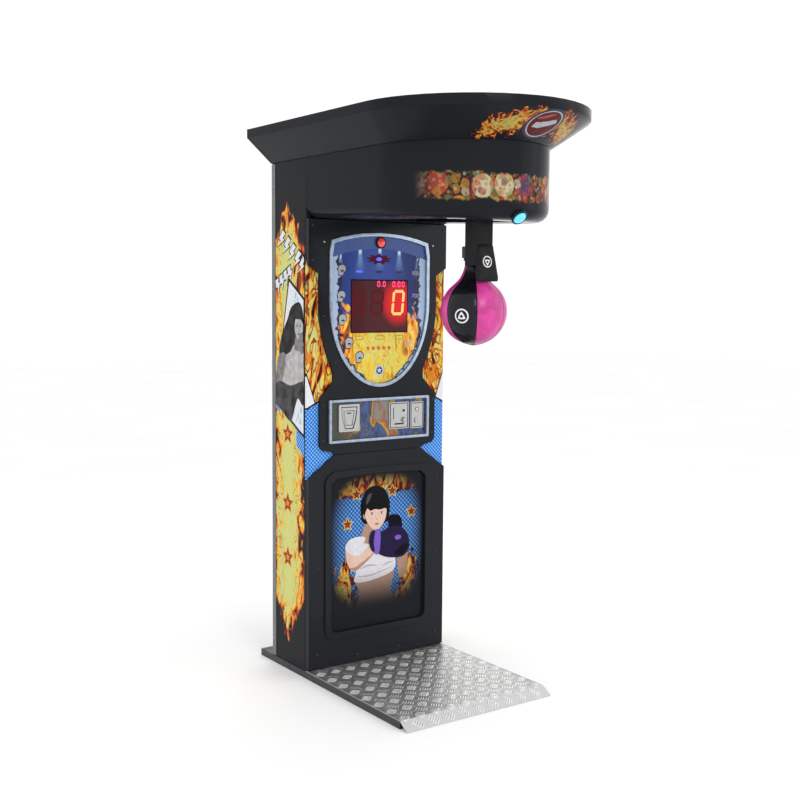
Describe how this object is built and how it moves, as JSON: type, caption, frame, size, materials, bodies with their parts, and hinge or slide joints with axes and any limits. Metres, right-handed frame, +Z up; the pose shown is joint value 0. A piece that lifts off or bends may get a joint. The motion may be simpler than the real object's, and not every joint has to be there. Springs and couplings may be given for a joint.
{
  "type": "boxing punch machine",
  "caption": "Boxing punch machine: slim cabinet with a score display and coin panel, tread-plate platform, and a flared head from which a punch bag swings up on an arm.",
  "frame": {"origin": "on the floor, at the centre of the machine's bounding box in plan", "axes": "+Z up, the player stands at -Y and faces +Y, +X to the player's right"},
  "size_m": [0.86, 1.344, 2.112],
  "materials": {
    "board_black": "satin laminate over board, printed on the sides",
    "moulding_black": "gloss",
    "frame_steel": "powder coat",
    "zinc_steel": "zinc plated",
    "tread": "raised tread pattern",
    "trim_aluminium": "satin",
    "chrome_blue": "bright moulding with a pale blue cast",
    "printed_glass": "back-lit print behind clear acrylic",
    "filter_red": "dark red display filter",
    "printed_panel": "printed art under clear film",
    "button_red": "translucent dome",
    "button_blue": "translucent dome, lit",
    "leather_black": "smooth black cover",
    "leather_bag": "glossy panels, magenta and black by turns",
    "steel_plate": "brushed",
    "rubber_black": "matt",
    "plastic_black": "satin",
    "circuit": "circuit board",
    "tin": "zinc-plated sheet"
  },
  "bodies": {
    "cabinet": {"base_frame": "frame_steel", "tread_plate": "tread", "left_side_panel": "board_black", "right_side_panel": "board_black", "left_corner_trim": "trim_aluminium", "right_corner_trim": "trim_aluminium", "front_board": "printed_panel", "upper_fascia": "moulding_black", "lower_fascia": "moulding_black", "picture_panel": "printed_panel", "shield_frame": "chrome_blue", "display_glass": "printed_glass", "display_filter": "filter_red", "led_module": "circuit", "start_button_bezel": "moulding_black", "coin_frame": "chrome_blue", "coin_plate": "printed_panel", "coin_return_housing": "steel_plate", "coin_return_cup": "tin", "coin_acceptor_face": "steel_plate", "coin_lock_plate": "steel_plate", "coin_mech": "plastic_black", "cash_box": "tin", "power_supply": "tin", "main_board": "circuit", "rear_top_panel": "board_black", "rear_lower_panel": "board_black", "power_inlet": "plastic_black", "hinge_bottom_frame_leaf": "zinc_steel", "hinge_top_frame_leaf": "zinc_steel", "head_shell": "moulding_black", "head_button_bezel": "moulding_black", "head_bottom_panel": "moulding_black", "canopy_fascia": "moulding_black", "canopy_roof": "board_black", "canopy_back_panel": "moulding_black", "support_frame": "frame_steel", "upper_bumper": "rubber_black", "rest_bumper": "rubber_black", "left_bearing": "zinc_steel", "right_bearing": "zinc_steel", "latch_solenoid": "tin", "speed_sensor": "plastic_black"},
    "swing": {"swing_arm": "leather_black", "pivot_shaft": "zinc_steel", "arm_pad": "leather_black", "punch_bag": "leather_bag", "bag_clamp": "frame_steel", "speed_disc": "zinc_steel"},
    "start_button": {"start_button_cap": "button_red"},
    "head_button": {"head_button_cap": "button_blue"},
    "coin_reject": {"coin_reject_button": "button_red"},
    "coin_flap": {"coin_return_flap": "steel_plate"},
    "coin_lock": {"coin_lock_barrel": "zinc_steel"},
    "service_door": {"rear_door": "board_black", "hinge_bottom_door_leaf": "zinc_steel", "hinge_top_door_leaf": "zinc_steel"},
    "door_lock": {"rear_lock_barrel": "zinc_steel"},
    "rocker": {"power_rocker": "button_red"},
    "latch": {"latch_bolt": "zinc_steel"}
  },
  "joints": [
    {"name": "arm_swing", "type": "hinge", "parent": "cabinet", "child": "swing", "pos_m": [0, -0.307, 1.862], "axis": [1, 0, 0], "range_deg": [0, 85]},
    {"name": "start_press", "type": "slide", "parent": "cabinet", "child": "start_button", "axis": [0, 1, 0], "range_m": [0, 0.003], "stiffness_N_per_m": 400, "springref_m": -0.003},
    {"name": "head_button_press", "type": "slide", "parent": "cabinet", "child": "head_button", "axis": [0, 0.7071, 0.7071], "range_m": [0, 0.003], "stiffness_N_per_m": 400, "springref_m": -0.003},
    {"name": "coin_reject_press", "type": "slide", "parent": "cabinet", "child": "coin_reject", "axis": [0, 1, 0], "range_m": [0, 0.003], "stiffness_N_per_m": 400, "springref_m": -0.003},
    {"name": "coin_flap_swing", "type": "hinge", "parent": "cabinet", "child": "coin_flap", "pos_m": [0, 0.2995, 1.044], "axis": [1, 0, 0], "range_deg": [0, 50]},
    {"name": "coin_lock_turn", "type": "hinge", "parent": "cabinet", "child": "coin_lock", "pos_m": [0.184, 0.303, 0.978], "axis": [0, 1, 0], "range_deg": [0, 90]},
    {"name": "door_swing", "type": "hinge", "parent": "cabinet", "child": "service_door", "pos_m": [-0.3, 0.58, 1], "axis": [0, 0, 1], "range_deg": [0, 110]},
    {"name": "door_lock_turn", "type": "hinge", "parent": "service_door", "child": "door_lock", "pos_m": [0.275, 0.573, 0.95], "axis": [0, 1, 0], "range_deg": [-90, 0]},
    {"name": "power_rock", "type": "hinge", "parent": "cabinet", "child": "rocker", "pos_m": [0.17, 0.566, 0.141], "axis": [1, 0, 0], "range_deg": [0, 14]},
    {"name": "latch_slide", "type": "slide", "parent": "cabinet", "child": "latch", "axis": [-1, 0, 0], "range_m": [0, 0.014], "stiffness_N_per_m": 200, "springref_m": -0.003}
  ]
}
